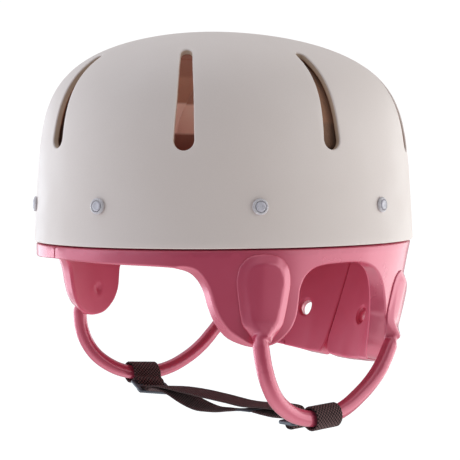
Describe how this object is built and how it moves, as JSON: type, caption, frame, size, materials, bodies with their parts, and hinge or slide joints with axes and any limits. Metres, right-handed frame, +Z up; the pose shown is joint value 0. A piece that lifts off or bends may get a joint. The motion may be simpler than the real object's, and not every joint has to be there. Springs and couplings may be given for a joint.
{
  "type": "hard shell helmet",
  "caption": "Protective head helmet: smooth slotted dome riveted to a dipped foam liner with temple flaps, nape panel, corded chin loops and a webbing chin strap.",
  "frame": {"origin": "middle of the head opening, in the plane of the shell's rim; the head that holds the helmet comes up through it", "axes": "+Z up towards the crown, -Y the front (face opening), +X the wearer's left"},
  "size_m": [0.1996, 0.2278, 0.2222],
  "materials": {
    "moulded_shell": "satin ivory moulded plastic, smooth",
    "dipped_vinyl": "glossy pink vinyl skin over foam",
    "tab_vinyl": "glossy pink vinyl",
    "cord_vinyl": "glossy pink vinyl coat",
    "cord_core": "flexible cord",
    "crown_foam": "matt dark closed-cell foam",
    "rivet_nylon": "translucent nylon",
    "pin_nylon": "translucent nylon",
    "washer_steel": "plain steel",
    "webbing": "dark brown woven nylon",
    "buckle_plastic": "dark blue-grey moulded plastic"
  },
  "bodies": {
    "root": {"outer_shell": "moulded_shell", "liner_left": "dipped_vinyl", "liner_right": "dipped_vinyl", "crown_strap_front_back": "crown_foam", "crown_strap_left": "crown_foam", "crown_strap_right": "crown_foam", "shell_rivet_1": "rivet_nylon", "shell_rivet_2": "rivet_nylon", "shell_rivet_3": "rivet_nylon", "shell_rivet_4": "rivet_nylon", "shell_rivet_5": "rivet_nylon", "shell_rivet_6": "rivet_nylon", "shell_rivet_7": "rivet_nylon", "shell_rivet_8": "rivet_nylon", "shell_rivet_pin_1": "pin_nylon", "shell_rivet_pin_2": "pin_nylon", "shell_rivet_pin_3": "pin_nylon", "shell_rivet_pin_4": "pin_nylon", "shell_rivet_pin_5": "pin_nylon", "shell_rivet_pin_6": "pin_nylon", "shell_rivet_pin_7": "pin_nylon", "shell_rivet_pin_8": "pin_nylon", "shell_rivet_washer_1": "washer_steel", "shell_rivet_washer_2": "washer_steel", "shell_rivet_washer_3": "washer_steel", "shell_rivet_washer_4": "washer_steel", "shell_rivet_washer_5": "washer_steel", "shell_rivet_washer_6": "washer_steel", "shell_rivet_washer_7": "washer_steel", "shell_rivet_washer_8": "washer_steel", "left_front_tab": "tab_vinyl", "left_rear_tab": "tab_vinyl", "right_front_tab": "tab_vinyl", "right_rear_tab": "tab_vinyl", "left_front_tab_rivet": "rivet_nylon", "left_rear_tab_rivet": "rivet_nylon", "right_front_tab_rivet": "rivet_nylon", "right_rear_tab_rivet": "rivet_nylon"},
    "left_loop": {"left_chin_loop": "cord_vinyl", "left_loop_core": "cord_core"},
    "right_loop": {"right_chin_loop": "cord_vinyl", "right_loop_core": "cord_core"},
    "strap": {"chin_strap": "webbing"},
    "left_buckle": {"left_slide_buckle": "buckle_plastic"},
    "right_buckle": {"right_slide_buckle": "buckle_plastic"}
  },
  "joints": [
    {"name": "left_loop_swing", "type": "hinge", "parent": "root", "child": "left_loop", "pos_m": [0.0943, -0.0469, -0.0496], "axis": [-0.1345, 0.986, -0.0982], "range_deg": [-12, 12], "stiffness_Nm_per_rad": 0.4},
    {"name": "right_loop_swing", "type": "hinge", "parent": "root", "child": "right_loop", "pos_m": [-0.0943, -0.0469, -0.0496], "axis": [0.1345, 0.986, -0.0982], "range_deg": [-12.5, 12.5], "stiffness_Nm_per_rad": 0.4},
    {"name": "strap_swing", "type": "hinge", "parent": "left_loop", "child": "strap", "pos_m": [0.08786, -0.00096, -0.09139], "axis": [-0.1001, 0.9949, 0.0107], "range_deg": [-12, 12]},
    {"name": "left_buckle_slide", "type": "slide", "parent": "strap", "child": "left_buckle", "axis": [1, 0, 0], "range_m": [-0.01, 0.001], "deforming": ["chin_strap"]},
    {"name": "right_buckle_slide", "type": "slide", "parent": "strap", "child": "right_buckle", "axis": [1, 0, 0], "range_m": [0, 0.008], "deforming": ["chin_strap"]}
  ],
  "couplings": [
    {"joint": "right_loop_swing", "follows": "left_loop_swing", "ratio": 1.025},
    {"joint": "strap_swing", "follows": "left_loop_swing", "ratio": -0.998}
  ]
}
